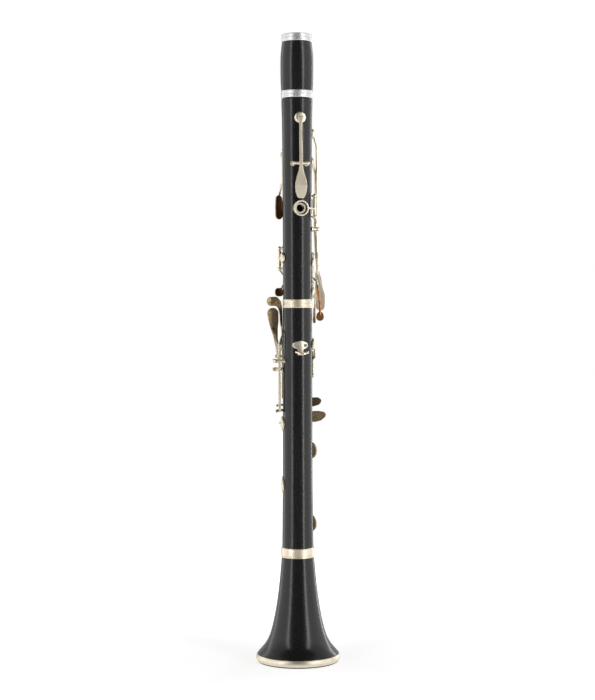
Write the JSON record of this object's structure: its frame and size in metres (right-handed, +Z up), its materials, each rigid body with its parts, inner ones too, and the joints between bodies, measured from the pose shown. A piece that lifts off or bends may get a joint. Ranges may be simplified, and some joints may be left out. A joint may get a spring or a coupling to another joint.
{
  "type": "clarinet",
  "caption": "Soprano clarinet body: barrel, two jointed tubes with pivoting keys, finger rings and pads, and a flared bell it stands on.",
  "frame": {"origin": "centre of the bell's foot, on the bore axis", "axes": "+Z up along the bore towards the mouthpiece socket; -Y is the thumb side, +Y the finger-hole side, +X the player's right"},
  "size_m": [0.0808, 0.0808, 0.6],
  "materials": {
    "grenadilla": "polished near-black African blackwood with a faint lengthwise grain",
    "silver_ring": "polished cool silver plate",
    "nickel_ring": "polished warm nickel silver with fine turned lines",
    "nickel_key": "polished cream-toned nickel silver, lightly worn",
    "steel": "bright turned steel",
    "blued_steel": "blued needle steel",
    "pad_skin": "brown skin pad",
    "cork": "greased natural cork",
    "worn_copper_key": "nickel silver worn to a coppery tone at the touch",
    "antique_brass_key": "olive antique brass, plating worn away",
    "tarnished_key": "dark tarnished brass at the touch"
  },
  "bodies": {
    "root": {"barrel_tenon_cork": "cork", "bell": "grenadilla", "bell_rim_ring": "nickel_ring", "bell_socket_ring": "nickel_ring", "bell_tenon_cork": "cork", "hinge_rods": "steel", "lower_joint": "grenadilla", "lower_posts": "nickel_key", "lower_socket_ring": "nickel_ring", "middle_tenon_cork": "cork", "needle_springs": "blued_steel", "register_tube": "nickel_ring", "thumb_rest": "nickel_key", "thumb_rest_screws": "steel", "thumb_tube": "nickel_ring", "upper_joint": "grenadilla", "upper_posts": "nickel_key"},
    "register_key": {"register_key": "nickel_key", "register_pad": "pad_skin"},
    "thumb_ring_key": {"thumb_ring_key": "nickel_key"},
    "throat_a_key": {"throat_a_key": "nickel_key", "throat_a_pad": "pad_skin"},
    "throat_gsharp_key": {"throat_gsharp_key": "worn_copper_key", "throat_gsharp_pad": "pad_skin"},
    "first_finger_ring_key": {"first_finger_ring_key": "nickel_key", "first_finger_ring_pad": "pad_skin"},
    "second_finger_ring_key": {"second_finger_ring_key": "nickel_key", "second_finger_ring_pad": "pad_skin"},
    "csharp_gsharp_key": {"csharp_gsharp_key": "worn_copper_key", "csharp_gsharp_pad": "pad_skin"},
    "eflat_sliver_key": {"eflat_sliver_key": "nickel_key", "eflat_sliver_pad": "pad_skin"},
    "side_key_1": {"side_key_1": "nickel_key", "side_1_pad": "pad_skin"},
    "side_key_2": {"side_key_2": "nickel_key", "side_2_pad": "pad_skin"},
    "side_key_3": {"side_key_3": "nickel_key", "side_3_pad": "pad_skin"},
    "side_key_4": {"side_key_4": "nickel_key", "side_4_pad": "pad_skin"},
    "lower_ring_key": {"lower_ring_key": "nickel_key", "lower_ring_pad": "pad_skin"},
    "b_fsharp_sliver_key": {"b_fsharp_sliver_key": "nickel_key", "b_fsharp_sliver_pad": "pad_skin"},
    "f_c_key": {"f_c_key": "tarnished_key", "f_c_pad": "pad_skin"},
    "e_b_key": {"e_b_key": "nickel_key", "e_b_pad": "pad_skin"},
    "fsharp_csharp_key": {"fsharp_csharp_key": "tarnished_key", "fsharp_csharp_pad": "pad_skin"},
    "aflat_eflat_key": {"aflat_eflat_key": "nickel_key", "aflat_eflat_pad": "pad_skin"},
    "left_f_c_lever": {"left_f_c_lever": "antique_brass_key"},
    "left_e_b_lever": {"left_e_b_lever": "antique_brass_key"},
    "left_fsharp_csharp_lever": {"left_fsharp_csharp_lever": "nickel_key"},
    "barrel": {"barrel": "grenadilla", "barrel_top_ring": "silver_ring", "barrel_bottom_ring": "silver_ring"}
  },
  "joints": [
    {"name": "register_key_hinge", "type": "hinge", "parent": "root", "child": "register_key", "pos_m": [0, -0.0184, 0.4759], "axis": [1, 0, 0], "range_deg": [0, 4], "stiffness_Nm_per_rad": 0.02, "springref_deg": -17.19},
    {"name": "thumb_ring_key_hinge", "type": "hinge", "parent": "root", "child": "thumb_ring_key", "pos_m": [0.01536, -0.00817, 0.43555], "axis": [0, 0, -1], "range_deg": [0, 3.5], "stiffness_Nm_per_rad": 0.02, "springref_deg": -17.19},
    {"name": "throat_a_key_hinge", "type": "hinge", "parent": "root", "child": "throat_a_key", "pos_m": [0.00135, 0.01935, 0.48], "axis": [-0.9976, 0.0698, 0], "range_deg": [0, 3.4], "stiffness_Nm_per_rad": 0.02, "springref_deg": -17.19},
    {"name": "throat_gsharp_key_hinge", "type": "hinge", "parent": "root", "child": "throat_gsharp_key", "pos_m": [-0.01071, 0.01371, 0.47295], "axis": [0, 0, 1], "range_deg": [0, 9], "stiffness_Nm_per_rad": 0.02, "springref_deg": -17.19},
    {"name": "first_finger_ring_key_hinge", "type": "hinge", "parent": "root", "child": "first_finger_ring_key", "pos_m": [0.01293, 0.01164, 0.42355], "axis": [0, 0, 1], "range_deg": [0, 5], "stiffness_Nm_per_rad": 0.02, "springref_deg": -17.19},
    {"name": "second_finger_ring_key_hinge", "type": "hinge", "parent": "root", "child": "second_finger_ring_key", "pos_m": [0.01293, 0.01164, 0.38015], "axis": [0, 0, 1], "range_deg": [0, 5], "stiffness_Nm_per_rad": 0.02, "springref_deg": -17.19},
    {"name": "csharp_gsharp_key_hinge", "type": "hinge", "parent": "root", "child": "csharp_gsharp_key", "pos_m": [-0.01613, 0.00652, 0.386], "axis": [0, 0, -1], "range_deg": [0, 13], "stiffness_Nm_per_rad": 0.02, "springref_deg": -17.19},
    {"name": "eflat_sliver_key_hinge", "type": "hinge", "parent": "root", "child": "eflat_sliver_key", "pos_m": [-0.00503, 0.01645, 0.387], "axis": [0, 0, -1], "range_deg": [0, 11], "stiffness_Nm_per_rad": 0.02, "springref_deg": -17.19},
    {"name": "side_key_1_hinge", "type": "hinge", "parent": "root", "child": "side_key_1", "pos_m": [0.01604, 0.00648, 0.3556], "axis": [0, 0, 1], "range_deg": [0, 13], "stiffness_Nm_per_rad": 0.02, "springref_deg": -17.19},
    {"name": "side_key_2_hinge", "type": "hinge", "parent": "root", "child": "side_key_2", "pos_m": [0.01604, 0.00648, 0.3763], "axis": [0, 0, 1], "range_deg": [0, 13], "stiffness_Nm_per_rad": 0.02, "springref_deg": -17.19},
    {"name": "side_key_3_hinge", "type": "hinge", "parent": "root", "child": "side_key_3", "pos_m": [0.0191, 0.00441, 0.4142], "axis": [-0.225, 0.9744, 0], "range_deg": [0, 1.9], "stiffness_Nm_per_rad": 0.02, "springref_deg": -17.19},
    {"name": "side_key_4_hinge", "type": "hinge", "parent": "root", "child": "side_key_4", "pos_m": [0.0191, 0.00441, 0.4142], "axis": [-0.225, 0.9744, 0], "range_deg": [0, 1.3], "stiffness_Nm_per_rad": 0.02, "springref_deg": -17.19},
    {"name": "lower_ring_key_hinge", "type": "hinge", "parent": "root", "child": "lower_ring_key", "pos_m": [0.01252, 0.01209, 0.289], "axis": [0, 0, 1], "range_deg": [0, 5], "stiffness_Nm_per_rad": 0.02, "springref_deg": -17.19},
    {"name": "b_fsharp_sliver_key_hinge", "type": "hinge", "parent": "root", "child": "b_fsharp_sliver_key", "pos_m": [0.01626, 0.00592, 0.2841], "axis": [0, 0, 1], "range_deg": [0, 7], "stiffness_Nm_per_rad": 0.02, "springref_deg": -17.19},
    {"name": "f_c_key_hinge", "type": "hinge", "parent": "root", "child": "f_c_key", "pos_m": [0.00652, 0.01613, 0.2188], "axis": [0, 0, -1], "range_deg": [0, 13], "stiffness_Nm_per_rad": 0.02, "springref_deg": -17.19},
    {"name": "e_b_key_hinge", "type": "hinge", "parent": "root", "child": "e_b_key", "pos_m": [0.00121, 0.01736, 0.1863], "axis": [0, 0, -1], "range_deg": [0, 10], "stiffness_Nm_per_rad": 0.02, "springref_deg": -17.19},
    {"name": "fsharp_csharp_key_hinge", "type": "hinge", "parent": "root", "child": "fsharp_csharp_key", "pos_m": [-0.00391, 0.01695, 0.2102], "axis": [0, 0, -1], "range_deg": [0, 11], "stiffness_Nm_per_rad": 0.02, "springref_deg": -17.19},
    {"name": "aflat_eflat_key_hinge", "type": "hinge", "parent": "root", "child": "aflat_eflat_key", "pos_m": [-0.0087, 0.01507, 0.2363], "axis": [0, 0, -1], "range_deg": [0, 9], "stiffness_Nm_per_rad": 0.02, "springref_deg": -17.19},
    {"name": "left_f_c_lever_hinge", "type": "hinge", "parent": "root", "child": "left_f_c_lever", "pos_m": [-0.022, 0, 0.288], "axis": [0, 1, 0], "range_deg": [0, 3], "stiffness_Nm_per_rad": 0.02, "springref_deg": -17.19},
    {"name": "left_e_b_lever_hinge", "type": "hinge", "parent": "root", "child": "left_e_b_lever", "pos_m": [-0.02025, 0.0086, 0.2797], "axis": [0.3907, 0.9205, 0], "range_deg": [0, 3], "stiffness_Nm_per_rad": 0.02, "springref_deg": -17.19},
    {"name": "left_fsharp_csharp_lever_hinge", "type": "hinge", "parent": "root", "child": "left_fsharp_csharp_lever", "pos_m": [-0.01528, 0.01583, 0.292], "axis": [0.7193, 0.6947, 0], "range_deg": [0, 3], "stiffness_Nm_per_rad": 0.02, "springref_deg": -17.19},
    {"name": "barrel_slide", "type": "slide", "parent": "root", "child": "barrel", "axis": [0, 0, 1], "range_m": [0, 0.003]}
  ],
  "couplings": [
    {"joint": "left_f_c_lever_hinge", "follows": "f_c_key_hinge", "ratio": 0.23077},
    {"joint": "left_e_b_lever_hinge", "follows": "e_b_key_hinge", "ratio": 0.3},
    {"joint": "left_fsharp_csharp_lever_hinge", "follows": "fsharp_csharp_key_hinge", "ratio": 0.27273}
  ]
}
